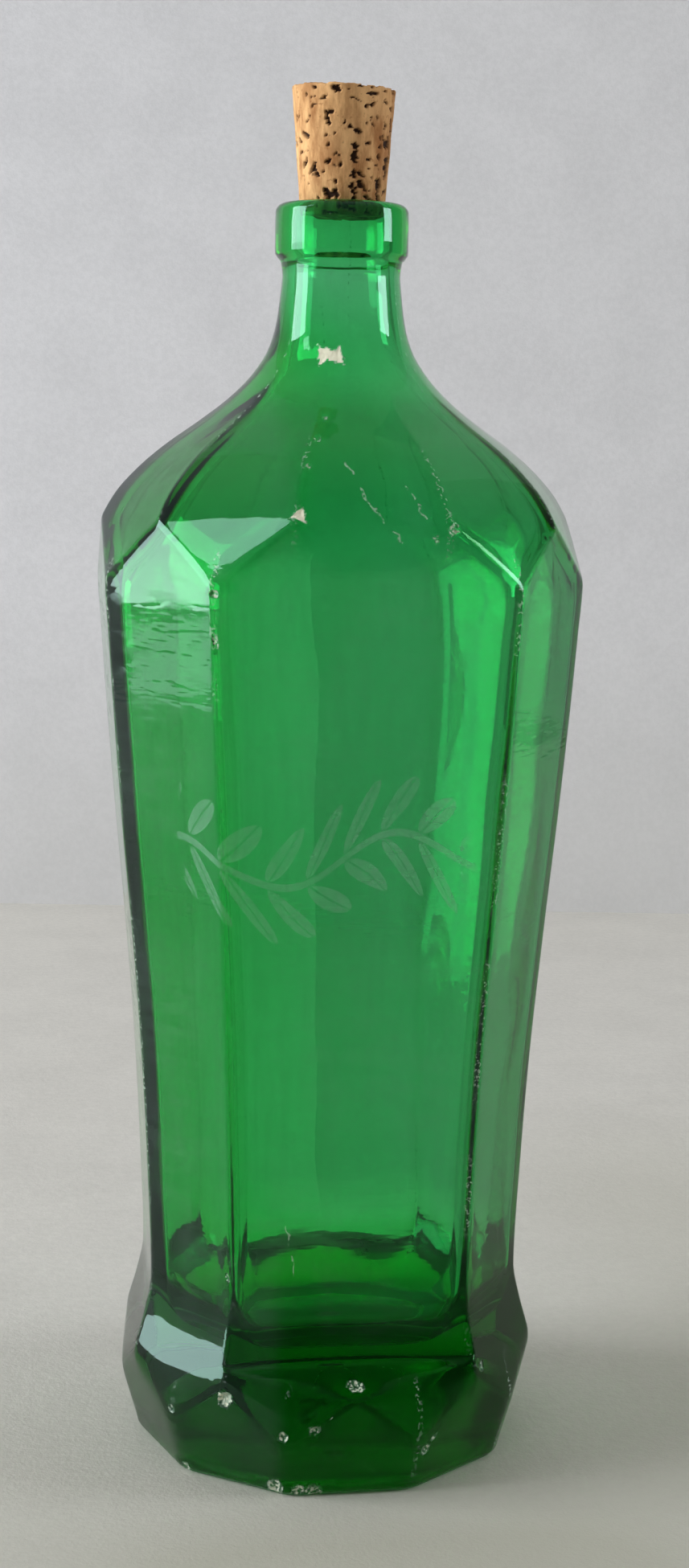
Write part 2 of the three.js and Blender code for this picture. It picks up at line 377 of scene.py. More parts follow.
    def shoulder(self, angle, height):
        """The facets that run up into the round neck; the wall slants with them."""
        wall = self.wall(angle)
        insets = [self.apothem.at(height + wall * slant) - wall * math.sqrt(1 - slant * slant)
                  for slant in self.SLANTS]
        apothem = np.min(insets, axis=0)
        round_share = self.roundness.at(height)
        return (1 - round_share) * self.facet(apothem, angle, self.edge) + round_share * apothem

    def foot(self, angle, height):
        return self.facet(self.settings.base_apothem + self.foot_slope * height, angle, self.FOOT_EDGE)

    def front_melt(self, angle):
        """The edge over the middle of each wide panel is soft, and the notches' edges are crisp."""
        melt = 1 - smooth_step(*self.MELT_SPAN, from_wide_panel(angle))
        return self.edge + (self.FRONT_MELT - self.edge) * melt

    def radius(self, angle, height):
        body = self.body(angle, height)
        upper = smooth_min(body, self.shoulder(angle, height), self.front_melt(angle))
        if self.hollow:
            bore = np.full_like(angle, self.settings.bore_radius)
            return smooth_max(upper, bore, self.BORE_BLEND)
        lower = smooth_min(body, self.foot(angle, height), self.FOOT_EDGE)
        return np.where(height > self.settings.shoulder_height / 2, upper, lower)

    def point(self, degrees, height):
        """A place on the surface, from degrees round and a height in millimetres."""
        angle = np.array([math.radians(degrees)])
        reach = float(self.radius(angle, np.array([height * MM]))[0])
        return Vector((reach * math.sin(angle[0]), -reach * math.cos(angle[0]), height * MM))

    def crossing(self, angle, low, high, other):
        """The height between low and high where the body crosses another set of facets."""
        low = np.full_like(angle, low)
        high = np.full_like(angle, high)
        inside_at_low = self.body(angle, low) < other(angle, low)
        for _ in range(self.HALVINGS):
            half = (low + high) / 2
            same = (self.body(angle, half) < other(angle, half)) == inside_at_low
            low = np.where(same, half, low)
            high = np.where(same, high, half)
        return (low + high) / 2


def ring_angles():
    return np.array([(step + share) * HALF_SIDE for step in range(2 * SIDES) for share in COLUMN_SHARES])


class RingStack:
    """A closed skin made by pulling one ring of edges from level to level."""

    FOOT_TOP = 24 * MM
    SHOULDER_BOTTOM = 190 * MM
    EDGE_COLUMNS = 2
    WELD = 1e-7

    def __init__(self, angles):
        self.mesh = bmesh.new()
        self.angles = angles
        self.column = self.mesh.verts.layers.int.new("column")
        self.outside = self.mesh.verts.layers.float.new("outside")
        self.is_outside = 1
        self.near_edge = self.mesh.verts.layers.float.new("near_edge")
        self.mesh.verts.layers.float.new("chip")
        made = bmesh.ops.create_circle(self.mesh, segments=len(angles), radius=1)["verts"]
        for index, vert in enumerate(made):
            vert[self.column] = index
        self.edges = list(self.mesh.edges)
        self.started = False

    def to(self, radii, heights):
        if self.started:
            pulled = bmesh.ops.extrude_edge_only(self.mesh, edges=self.edges)["geom"]
            self.edges = [item for item in pulled if isinstance(item, bmesh.types.BMEdge)]
        self.started = True
        radii = np.broadcast_to(radii, self.angles.shape)
        heights = np.broadcast_to(heights, self.angles.shape)
        for vert in {vert for edge in self.edges for vert in edge.verts}:
            index = vert[self.column]
            angle = self.angles[index]
            radius = radii[index]
            vert.co = (radius * math.sin(angle), -radius * math.cos(angle), heights[index])
            vert[self.outside] = self.is_outside
            vert[self.near_edge] = self.is_outside * self.on_edge(index, heights[index])

    def on_edge(self, index, height):
        """The body's corners lie between the foot's and the shoulder's."""
        corner = round(index / len(COLUMN_SHARES))
        in_body = self.FOOT_TOP < height < self.SHOULDER_BOTTOM
        is_seam = in_body and corner % SIDES == 0
        is_near = abs(index - len(COLUMN_SHARES) * corner) < self.EDGE_COLUMNS
        return is_near and (corner % 2 == 1) != in_body and not is_seam

    def close(self):
        bmesh.ops.remove_doubles(self.mesh, verts=self.mesh.verts, dist=self.WELD)
        bmesh.ops.recalc_face_normals(self.mesh, faces=self.mesh.faces)
        return self.mesh


def finish_object(mesh, name, material):
    data = bpy.data.meshes.new(name)
    mesh.to_mesh(data)
    mesh.free()
    data.shade_smooth()
    data.materials.append(material)
    made = bpy.data.objects.new(name, data)
    bpy.context.scene.collection.objects.link(made)
    return made


class Value:
    """A number in a material, so that sums are written as Python expressions."""

    def __init__(self, paint, socket):
        self.paint = paint
        self.socket = socket

    def __add__(self, other):
        return self.paint.maths("ADD", self, other)

    __radd__ = __add__

    def __sub__(self, other):
        return self.paint.maths("SUBTRACT", self, other)

    def __rsub__(self, other):
        return self.paint.maths("SUBTRACT", other, self)

    def __mul__(self, other):
        return self.paint.maths("MULTIPLY", self, other)

    __rmul__ = __mul__

    def __truediv__(self, other):
        return self.paint.maths("DIVIDE", self, other)

    def absolute(self):
        return self.paint.maths("ABSOLUTE", self)

    def bigger(self, other):
        return self.paint.maths("MAXIMUM", self, other)

    def smaller(self, other):
        return self.paint.maths("MINIMUM", self, other)

    def ramp(self, low, high):
        inputs = {"Value": self, "From Min": low, "From Max": high}
        return self.paint.node("ShaderNodeMapRange", {"interpolation_type": "SMOOTHSTEP"}, inputs)

    def within(self, ends):
        low_end, high_end = ends
        return self.ramp(*low_end) * self.ramp(*high_end)

    def between(self, low, high, start, end):
        inputs = {"Value": self, "From Min": low, "From Max": high, "To Min": start, "To Max": end}
        return self.paint.node("ShaderNodeMapRange", {}, inputs)


class Paint:
    """Builds one material, or the room, out of nodes."""

    MIDDLE = (0.5, 0.5, 0.5)
    CORE_SHARE = 0.4

    def __init__(self, owner, output="ShaderNodeOutputMaterial"):
        owner.use_nodes = True
        self.owner = owner
        self.tree = owner.node_tree
        self.tree.nodes.clear()
        self.output = self.tree.nodes.new(output)

    def node(self, kind, settings=None, inputs=None, output=0):
        made = self.tree.nodes.new(kind)
        for key, setting in (settings or {}).items():
            setattr(made, key, setting)
        for key, given in (inputs or {}).items():
            if isinstance(given, Value):
                self.tree.links.new(given.socket, made.inputs[key])
            else:
                made.inputs[key].default_value = given
        return Value(self, made.outputs[output])

    def axes(self, vector=None):
        vector = vector or self.place()
        return {axis: self.node("ShaderNodeSeparateXYZ", {}, {0: vector}, axis) for axis in "XYZ"}

    def attribute(self, name):
        return self.node("ShaderNodeAttribute", {"attribute_name": name}, {}, "Fac")

    def place(self):
        return self.node("ShaderNodeTexCoord", output="Object")

    def noise(self, fineness, detail, roughness):
        """Noise as fine as one number says, or as three say for the three axes."""
        vector, scale = self.place(), fineness
        if isinstance(fineness, tuple):
            vector = self.node("ShaderNodeMapping", {}, {"Vector": vector, "Scale": fineness})
            scale = 1
        inputs = {"Vector": vector, "Scale": scale, "Detail": detail, "Roughness": roughness}
        return self.node("ShaderNodeTexNoise", {}, inputs, "Fac")

    def maths(self, operation, first, second=0):
        return self.node("ShaderNodeMath", {"operation": operation}, {0: first, 1: second})

    def mixed(self, share, first, second):
        inputs = {"Factor": share, 6: first, 7: second}
        return self.node("ShaderNodeMix", {"data_type": "RGBA"}, inputs, 2)

    def bump(self, height, distance, strength):
        inputs = {"Height": height, "Distance": distance, "Strength": strength}
        return self.node("ShaderNodeBump", {}, inputs)

    def vector(self, operation, first, second, output=0):
        return self.node("ShaderNodeVectorMath", {"operation": operation}, {0: first, 1: second}, output)

    def wobbly(self, scale, reach):
        """The place, pushed about by noise, so that straight lines come out unsteady."""
        inputs = {"Vector": self.place(), "Scale": scale, "Detail": 1}
        noise_colour = self.node("ShaderNodeTexNoise", {}, inputs, "Color")
        push = self.vector("SUBTRACT", noise_colour, self.MIDDLE)
        push = self.vector("MULTIPLY", push, (reach, reach, reach))
        return self.vector("ADD", self.place(), push)

    def line(self, place, start, end, width):
        """A mask along a scratch in the surface."""
        along = end - start
        from_start = self.vector("SUBTRACT", place, start)
        share = self.vector("DOT_PRODUCT", from_start, along / along.length_squared, "Value")
        share = share.bigger(0).smaller(1)
        nearest = self.node("ShaderNodeVectorMath", {"operation": "SCALE"}, {0: along, "Scale": share})
        gap = self.vector("DISTANCE", from_start, nearest, "Value")
        return gap.ramp(width, self.CORE_SHARE * width)

    def principled(self, inputs):
        return self.node("ShaderNodeBsdfPrincipled", {}, inputs)

    def mixed_shader(self, share, first, second):
        return self.node("ShaderNodeMixShader", {}, {0: share, 1: first, 2: second})

    def surface(self, shader, volume=None):
        self.tree.links.new(shader.socket, self.output.inputs["Surface"])
        if volume:
            self.tree.links.new(volume.socket, self.output.inputs["Volume"])
        return self.owner


class Sprig:
    """A frosted leafy sprig across the front panel."""

    HEIGHT = 131 * MM
    REACH = 46 * MM
    SLOPE = 0.04
    BENDS = 130
    BEND_START = 0.6
    BEND_HEIGHT = 5 * MM
    STEM = (0.9 * MM, 0.6 * MM)
    STEM_ENDS = ((-42 * MM, -40 * MM), (26 * MM, 24 * MM))
    LEAVES_END = ((-41 * MM, -34 * MM), (26 * MM, 12 * MM))
    STAGGER = 0.12
    SLANT = 0.75
    PITCH = 4.2 * MM
    HALF_WIDTH = 2.3 * MM
    MIDDLE = 6.2 * MM
    HALF_LENGTH = 5.4 * MM
    SHRINK = 0.35
    LEAF_EDGE = (1.02, 0.92)
    LAST_LEAF = (0, 0.3)
    VEIN = (0.15 * MM, 0.3 * MM)
    VEIN_FROST = 0.35

    def mask(self, paint, height, angle):
        along = angle * self.REACH
        bend = paint.maths("SINE", along * self.BENDS + self.BEND_START)
        rise = height - self.HEIGHT - along * self.SLOPE - bend * self.BEND_HEIGHT
        side = rise.absolute()
        ends = along.within(self.LEAVES_END)
        stem = side.ramp(*self.STEM) * along.within(self.STEM_ENDS)
        pace = along + rise * self.STAGGER - side * self.SLANT
        across = paint.maths("PINGPONG", pace, self.PITCH) - self.PITCH
        wide = across / self.HALF_WIDTH
        tall = (side - self.MIDDLE) / self.HALF_LENGTH
        leaf = (wide * wide + tall * tall + self.SHRINK * (1 - ends)).ramp(*self.LEAF_EDGE)
        vein = self.VEIN_FROST + (1 - self.VEIN_FROST) * across.absolute().ramp(*self.VEIN)
        return stem.bigger(leaf * ends.ramp(*self.LAST_LEAF) * vein)


class GlassLook:
    """Clear green glass under a thin film of dust, with scuffs, chips, scratches, painted glints and
    painted shade.
    """

    # The heights, places to the right, or angles between which a part of the look fades in.
    BODY = (26 * MM, 40 * MM)
    DUST_TOP = (192 * MM, 182 * MM)
    UNDERSIDE = (1.2 * MM, 0.3 * MM)
    # Heights below which the foot's painted shade fades in.
    DEEP_FOOT = (58 * MM, 42 * MM)
    GREEN_FOOT = (50 * MM, 30 * MM)
    BLURRED_FOOT = (20 * MM, 16 * MM)
    FRONT_RISE = 6 * MM
    SHOULDER = ((184 * MM, 194 * MM), (224 * MM, 214 * MM))
    FRONT = (-17 * MM, -13 * MM)
    # Angles past which shade is painted on the right.
    RIGHT_PANELS = (0.97 * SIDE, 1.06 * SIDE)

    # Each noise: its fineness, for each axis or for all, then its detail and roughness.
    STREAK = ((260, 260, 14), 2, 0.6)
    WIPE = ((75, 75, 340), 2, 0.7)
    CLOUD = (38, 2, 0.6)
    CRACKLE = (1500, 1, 0.7)
    WOBBLE = (420, 2.2 * MM)

    # The values of a noise between which something fades in.
    SMEARED = (0.42, 0.62)
    SMEAR_LINES = (0.45, 0.6)
    FILM_STREAKS = (0.45, 0.7)
    TINT_STREAKS = (0.35, 0.75)
    DULL_LINES = (0.5, 0.6)
    CLOUDED = (0.4, 0.6)
    WORN_SPOTS = (0.55, 0.62)
    WORN_STRETCHES = (0.45, 0.6)
    BROKEN_SPOTS = (0.44, 0.6)
    WHITE_CHIPS = (0.92, 0.98)
    SCRATCH_GAPS = (0.3, 0.5)
    DUST_SPOTS = (0.3, 0.7)

    # Shares: of dust in the film, of frost, of broken glass, of the streaks' tint, and of the painted shade
    # on the right.
    THIN_DUST, SMEAR_DUST, STREAK_DUST, FROST = 0.006, 0.03, 0.012, 0.2
    EVEN_SMEAR, EVEN_FROST = 0.4, 0.65
    CHIP_BASE, CHIP_SPOTS, SCRATCH, WORN_EDGE, UNDER_DUST = 0.08, 0.8, 0.4, 0.35, 0.2
    STREAK_TINT, RIGHT_TINT = 0.3, 0.9

    # Roughness of clean glass, and what each part adds.
    CLEAN, DULL, FROSTED, UNDER, CHIPPED, BLURRED, MOST = 0.015, 0.12, 0.25, 0.6, 0.35, 0.2, 0.6
    WAVE_DEPTH, WAVE_STRENGTH = 0.08 * MM, 0.6
    DUST_ROUGHNESS = 0.5

    # Colours.
    PLAIN = (0.98, 1, 0.98, 1)
    BODY_TINT = (0.67, 0.74, 0.68, 1)
    SHOULDER_TINT = (0.4, 0.47, 0.43, 1)
    DARK_STREAK = (0.45, 0.54, 0.49, 1)
    # Painted shade on the right panels and round the back.
    RIGHT_SHADE = (0.26, 0.42, 0.36, 1)
    FOOT_GREEN = (0.5, 0.98, 0.55, 1)
    CLEAR_GLOSS = (0.55, 0.92, 0.8, 1)
    # Reflection tint of a copy of the glass that paints shade on the shoulder and the foot's low front.
    DEEP_GLOSS = (0.08, 0.6, 0.15, 1)
    DARK_DUST = (0.28, 0.48, 0.4, 1)
    PALE_DUST = (0.58, 0.8, 0.72, 1)
    # Broken glass, also the cream of the painted glints.
    BROKEN_GLASS = (1, 0.97, 0.74, 1)
    IOR = 1.52

    def __init__(self, lines):
        paint = Paint(bpy.data.materials.new("green_glass"))
        axes = paint.axes()
        self.paint = paint
        self.lines = lines
        self.height = axes["Z"]
        self.angle = paint.maths("ARCTAN2", axes["X"], axes["Y"] * -1)
        self.chip = paint.attribute("chip")
        self.outside = paint.attribute("outside")
        self.streak = paint.noise(*self.STREAK)
        self.wipe = paint.noise(*self.WIPE)
        self.cloud = paint.noise(*self.CLOUD)
        self.crackle = paint.noise(*self.CRACKLE)
        self.body = self.height.ramp(*self.BODY) * self.outside
        self.dusty = self.body * self.height.ramp(*self.DUST_TOP)
        self.shoulder = self.height.within(self.SHOULDER)
        self.front = axes["X"].ramp(*self.FRONT)
        even = self.EVEN_FROST + (1 - self.EVEN_FROST) * self.cloud.ramp(*self.CLOUDED)
        self.frost = Sprig().mask(paint, self.height, self.angle) * self.dusty * even

    def film(self):
        """Dust in thin smears and streaks, and the frosted sprig."""
        lines = self.EVEN_SMEAR + (1 - self.EVEN_SMEAR) * self.wipe.ramp(*self.SMEAR_LINES)
        smears = self.cloud.ramp(*self.SMEARED) * lines
        streaks = self.streak.ramp(*self.FILM_STREAKS)
        dust = self.THIN_DUST + self.SMEAR_DUST * smears + self.STREAK_DUST * streaks
        return self.dusty * dust + self.frost * self.FROST

    def scuffs(self):
        """Chips, painted glints, scratches and worn edges."""
        wobbly = self.paint.wobbly(*self.WOBBLE)
        scratch = 0
        for start, end, width in self.lines:
            scratch = self.paint.line(wobbly, start, end, width).bigger(scratch)
        spots = self.CHIP_BASE + self.CHIP_SPOTS * self.crackle.ramp(*self.BROKEN_SPOTS)
        # The whitest chips and the painted glints take the full cream.
        scuff = self.chip * spots.bigger(self.chip.ramp(*self.WHITE_CHIPS))
        worn = self.crackle.ramp(*self.WORN_SPOTS) * self.cloud.ramp(*self.WORN_STRETCHES)
        worn_edge = self.paint.attribute("near_edge") * worn
        scratch = scratch * self.crackle.ramp(*self.SCRATCH_GAPS)
        return scuff.bigger(scratch * self.SCRATCH).bigger(worn_edge * self.WORN_EDGE)

    def tint(self):
        """The skin's colour, which light takes as it passes through, darker over the shoulder and in
        streaks, greener low on the foot, and with shade painted on the right panels.
        """
        streaks = self.dusty * self.streak.ramp(*self.TINT_STREAKS) * self.STREAK_TINT
        # Painted shade on the body from the right panels round the back.
        aside = self.angle.ramp(*self.RIGHT_PANELS) * self.dusty * self.RIGHT_TINT
        low = self.height.ramp(*self.GREEN_FOOT) * self.outside
        tint = self.paint.mixed(self.body, self.PLAIN, self.BODY_TINT)
        for share, colour in ((self.shoulder * self.outside, self.SHOULDER_TINT),
                              (streaks, self.DARK_STREAK),
                              (aside, self.RIGHT_SHADE),
                              (low, self.FOOT_GREEN)):
            tint = self.paint.mixed(share, tint, colour)
        return tint

    def roughness(self, under):
        dull = self.dusty * self.wipe.ramp(*self.DULL_LINES) * self.cloud.ramp(*self.CLOUDED)
        blurred = (self.height - self.front * self.FRONT_RISE).ramp(*self.BLURRED_FOOT)
        rough = self.CLEAN + dull * self.DULL + self.frost * self.FROSTED + under * self.UNDER
        return (rough + self.chip * self.CHIPPED + blurred * self.BLURRED).smaller(self.MOST)

    def material(self, settings):
        paint = self.paint
        under = self.height.ramp(*self.UNDERSIDE)
        inputs = {
            "Base Color": self.tint(),
            "Roughness": self.roughness(under),
            "IOR": self.IOR,
            "Transmission Weight": 1,
            "Specular Tint": self.CLEAR_GLOSS,
            "Normal": paint.bump(self.wipe * self.dusty, self.WAVE_DEPTH, self.WAVE_STRENGTH),
        }
        clear = paint.principled(inputs)
        # Painted shade: a copy with deep green reflections on the shoulder and the foot's low front.
        deep = paint.principled({**inputs, "Specular Tint": self.DEEP_GLOSS})
        is_deep = (self.height.ramp(*self.DEEP_FOOT) * self.outside).bigger(self.shoulder) * self.front
        scuffs = self.scuffs()
        dust = paint.mixed(self.crackle.ramp(*self.DUST_SPOTS), self.DARK_DUST, self.PALE_DUST)
        colour = paint.mixed(scuffs, dust, self.BROKEN_GLASS)
        worn = paint.principled({"Base Color": colour, "Roughness": self.DUST_ROUGHNESS})
        share = self.film().bigger(scuffs).bigger(under * self.UNDER_DUST)
        skin = paint.mixed_shader(share, paint.mixed_shader(is_deep, clear, deep), worn)
        inputs = {"Color": (*settings.tint, 1), "Density": settings.density}
        return paint.surface(skin, paint.node("ShaderNodeVolumeAbsorption", {}, inputs))


class BOTTLE_OT_glass(Operator):
    """Build the glass, outside and inside, in place of its faceted solid"""

    bl_idname = "bottle.glass"
    bl_label = "Glass"

    # The skin round a chip, and the part of it that is divided more finely: a share of the
    # chip's radius, and a margin in millimetres.
    SKIN = (1.9, 4.5)
    DIVIDED = (1.7, 1.5)
    DIVISIONS = 2
    SAME_SIDE = 0.3

    # The straight breaks round a chip or a painted glint, at shares of its radius that swing from one
    # to the next, and the height and fineness of their raggedness.
    CHIP_BREAKS, GLINT_BREAKS = 7, 3
    BREAK_MIDDLE, BREAK_SWING = 0.85, 0.2
    CHIP_TURN, BREAK_TURN = 7, 5
    RAGGED = ((0.22, 900), (0.12, 2500))
    RIPPLE = ((0.5, 2000),)
    CHIP_END, CHIP_LIMIT = 1.2, 2.2
    STEEPNESS = 1.4
    WHITE_END, WHITE_SHARPNESS = 1.08, 6

    # Rings of the outside: heights, and distances past an edge, in millimetres where bare.
    DOME_RINGS = 14
    BASE_SHARES = (0.04, 0.5, 0.9, 1)
    ROUNDING_RINGS = 4
    FOOT_SEARCH, FOOT_SEARCH_SHARE = 4 * MM, 1.6
    FOOT_FOLD = (-1.3, -0.7, -0.3, 0, 0.3, 0.7, 1.3)
    FOOT_RINGS = (6, 4)
    LEDGE_LEAD = 1.4 * MM
    LEDGE_RINGS = (0.5, 0.9, 1.2, 1.5, 1.9, 2.4, 3.2, 4.4, 6)
    WAIST_TOP = 66 * MM
    WAIST_RINGS, BODY_RINGS = 16, 24
    SHOULDER_LEAD = 6 * MM
    SHOULDER_SEARCH = 30 * MM
    SHOULDER_TOP = 20 * MM
    SHOULDER_FOLD = (-1.5, -0.8, -0.35, 0, 0.35, 0.8, 1.5)
    SHOULDER_RINGS = (6, 9)
    NECK_RINGS = 26

    # The collar out from the neck, and the bead's lower edge from the bead's radius: steps
    # out and steps up from the collar's height, in millimetres.
    COLLAR_STEPS = ((0.08, -1.6), (0.25, -0.6), (0.4, -0.1), (0.75, 0.15))
    BEAD_STEPS = ((-0.35, 0.75), (-0.08, 1.1), (0, 1.7), (0, 4))
    BEAD_TOP = 4 * MM
    LIP_RINGS, MOUTH_RINGS = 7, 5

    # Rings of the hollow, and shares of its floor.
    BORE_TOP, BORE_FOOT = 2 * MM, 8 * MM
    HOLLOW_LOW, HOLLOW_TOP = 14 * MM, 22 * MM
    HOLLOW_LEAD = 2 * MM
    HOLLOW_FOLD = (1.2, 0.6, 0.2, -0.2, -0.6, -1.2)
    HOLLOW_RINGS = (5, 22, 10, 6, 24)
    FLOOR_RISES = (0.88, 0.75, 0.6, 0.45, 0.32, 0.2, 0.13, 0.08, 0.045, 0.02, 0.006, 0)
    FLOOR_MIDDLE = (0.47, 0.4, 0.3, 0.2, 0.1, 0.04, 0)

    # Waves in the glass: where they lie in the noise, round and up, and how deep they are.
    OUTER_WAVE, OUTER_DEPTH = (3.06, 1.122, 24), 0.16 * MM
    INNER_WAVE, INNER_DEPTH = (3, 0, 1 / (22 * MM)), 0.35 * MM
    WAVE_TOP, WAVE_FADE = 243 * MM, 30 * MM

    def execute(self, context):
        settings = context.scene.bottle_settings
        shape = GlassShape(settings)
        stack = RingStack(ring_angles())
        lines = [(shape.point(*scratch[:2]), shape.point(*scratch[2:4]), scratch[4] * MM)
                 for scratch in SCRATCHES]
        self.base(stack, shape)
        self.foot(stack, shape)
        self.body(stack, shape)
        self.shoulder(stack, shape)
        self.finish(stack, shape)
        self.hollow(stack, GlassShape(settings, hollow=True))
        mesh = stack.close()
        self.break_chips(mesh, shape)
        bmesh.ops.recalc_face_normals(mesh, faces=mesh.faces)
        piece = finish_object(mesh, "bottle_glass", GlassLook(lines).material(settings))
        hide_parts("glass_bottle")
        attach(piece, "bottle")
        return {"FINISHED"}

    def break_chips(self, mesh, shape):
        """Divide the skin round each chip more finely, and sink a broken hollow into it."""
        centres = [shape.point(angle, height) for angle, height, *rest in CHIPS]
        share, margin = self.DIVIDED
        for _ in range(self.DIVISIONS):
            edges = set()
            for centre, outward, skin, chip in self.skins(mesh, centres):
                reach = (share * chip[2] + margin) * MM
                edges |= {edge for vert in skin if (vert.co - centre).length < reach
                          for edge in vert.link_edges if all(end in skin for end in edge.verts)}
            bmesh.ops.subdivide_edges(mesh, edges=list(edges), cuts=1, use_grid_fill=True)
        for index, (centre, outward, skin, chip) in enumerate(self.skins(mesh, centres)):
            self.sink(mesh, skin, index, centre, outward, chip[2] * MM, chip[3] * MM, chip[4])

    def skins(self, mesh, centres):
        """The outside round each chip's centre."""
        mesh.normal_update()
        outside = mesh.verts.layers.float["outside"]
        verts = [vert for vert in mesh.verts if vert[outside] > 0.5]
        places = np.array([vert.co for vert in verts])
        share, margin = self.SKIN
        found = []
        for centre, chip in zip(centres, CHIPS):
            gaps = np.linalg.norm(places - np.array(centre), axis=1)
            outward = verts[int(gaps.argmin())].normal.copy()
            near = [verts[place] for place in np.nonzero(gaps < (share * chip[2] + margin) * MM)[0]]
            skin = {vert for vert in near if vert.normal.dot(outward) > self.SAME_SIDE}
            found.append((centre, outward, skin, chip))
        return found

    def sink(self, mesh, skin, index, centre, outward, size, depth, white):
        """A chip, or a painted glint where white is 1, is bounded by straight breaks, each at its own
        distance from its middle.
        """
        layer = mesh.verts.layers.float["chip"]
        side = outward.cross(Vector((0, 0, 1))).normalized()
        upward = side.cross(outward)
        breaks = []
        count = self.GLINT_BREAKS if white == 1 else self.CHIP_BREAKS
        for step in range(count):
            turn = 2 * math.pi * step / count + index
            swing = self.BREAK_SWING * math.sin(self.CHIP_TURN * index + self.BREAK_TURN * step)
            distance = size * (self.BREAK_MIDDLE + swing)
            breaks.append((side * math.cos(turn) + upward * math.sin(turn), distance))
        for vert in skin:
            offset = vert.co - centre
            share = max(offset.dot(direction) / distance for direction, distance in breaks)
            share += unevenness(vert.co, self.RAGGED)
            if share < self.CHIP_END and offset.length < self.CHIP_LIMIT * size:
                sunk = min(1, self.STEEPNESS * max(0, 1 - share))
                vert.co -= outward * depth * sunk * (1 + unevenness(vert.co, self.RIPPLE))
                whiteness = white * clipped((self.WHITE_END - share) * self.WHITE_SHARPNESS)
                vert[layer] = max(vert[layer], whiteness)

    def base(self, stack, shape):
        """The dome under the base, and the flat ring round it."""
        for turn in spread(0, math.pi / 2, self.DOME_RINGS):
            radius = shape.PUSH_UP_RADIUS * math.sin(turn)
            stack.to(radius, shape.PUSH_UP_DEPTH * math.cos(turn))
        edge = shape.foot(stack.angles, 0) - shape.BASE_ROUNDING
        for share in self.BASE_SHARES:
            stack.to(shape.PUSH_UP_RADIUS * (1 - share) + edge * share, 0)

    def foot(self, stack, shape):
        angles = stack.angles
        highest = self.FOOT_SEARCH_SHARE * shape.settings.foot_height
        zigzag = shape.crossing(angles, self.FOOT_SEARCH, highest, shape.foot)
        for turn in spread(0, math.pi / 2, self.ROUNDING_RINGS):
            height = shape.BASE_ROUNDING * (1 - math.cos(turn)) * np.ones_like(angles)
            inset = shape.BASE_ROUNDING * (1 - math.sin(turn))
            stack.to(shape.radius(angles, height) - inset, height)
        heights = (shape.BASE_ROUNDING, zigzag, shape.ledge_height - self.LEDGE_LEAD)
        self.fold(stack, shape, heights, self.FOOT_FOLD, self.FOOT_RINGS)

    def fold(self, stack, shape, heights, past_edge, rings):
        """Rings up to a zigzag edge, close together over it, and on past it."""
        low, zigzag, high = heights
        edge = past_edge[-1] * MM
        levels = [low + (zigzag - edge - low) * share for share in spread(0, 1, rings[0])[:-1]]
        levels += [zigzag + past * MM for past in past_edge]
        levels += [zigzag + edge + (high - zigzag - edge) * share for share in spread(0, 1, rings[1])]
        for level in levels:
            self.level(stack, shape, level)

    def body(self, stack, shape):
        start = shape.ledge_height - self.LEDGE_LEAD
        top = shape.settings.shoulder_height - self.SHOULDER_LEAD
        heights = [start + past * MM for past in self.LEDGE_RINGS]
        heights += spread(heights[-1], self.WAIST_TOP, self.WAIST_RINGS)
        heights += spread(self.WAIST_TOP, top, self.BODY_RINGS)
        for height in heights:
            self.level(stack, shape, height * np.ones_like(stack.angles))

    def shoulder(self, stack, shape):
        settings = shape.settings
        low = settings.shoulder_height - self.SHOULDER_LEAD
        top = settings.shoulder_height + self.SHOULDER_TOP
        zigzag = shape.crossing(stack.angles, low, low + self.SHOULDER_SEARCH, shape.shoulder)
        self.fold(stack, shape, (low, zigzag, top), self.SHOULDER_FOLD, self.SHOULDER_RINGS)
        for height in spread(top, settings.neck_height, self.NECK_RINGS):
            self.level(stack, shape, height * np.ones_like(stack.angles))

    def finish(self, stack, shape):
        """The collar, the bead with its rounded lip, and the bore's soft mouth."""
        settings = shape.settings
        neck, bead, bore = settings.neck_radius, settings.bead_radius, settings.bore_radius
        collar = settings.neck_height + shape.COLLAR
        profile = [(neck + out * MM, collar + rise * MM) for out, rise in self.COLLAR_STEPS]
        profile += [(bead + out * MM, collar + rise * MM) for out, rise in self.BEAD_STEPS]
        profile.append((bead, shape.lip - self.BEAD_TOP))
        rounding = shape.LIP_ROUNDING
        for turn in spread(0, math.pi / 2, self.LIP_RINGS):
            height = shape.lip - rounding * (1 - math.sin(turn))
            profile.append((bead - rounding + rounding * math.cos(turn), height))
        rounding = shape.MOUTH_ROUNDING
        for turn in spread(0, math.pi / 2, self.MOUTH_RINGS):
            height = shape.lip - rounding * (1 - math.cos(turn))
            profile.append((bore + rounding * (1 - math.sin(turn)), height))
        for radius, height in profile:
            stack.to(radius, height)

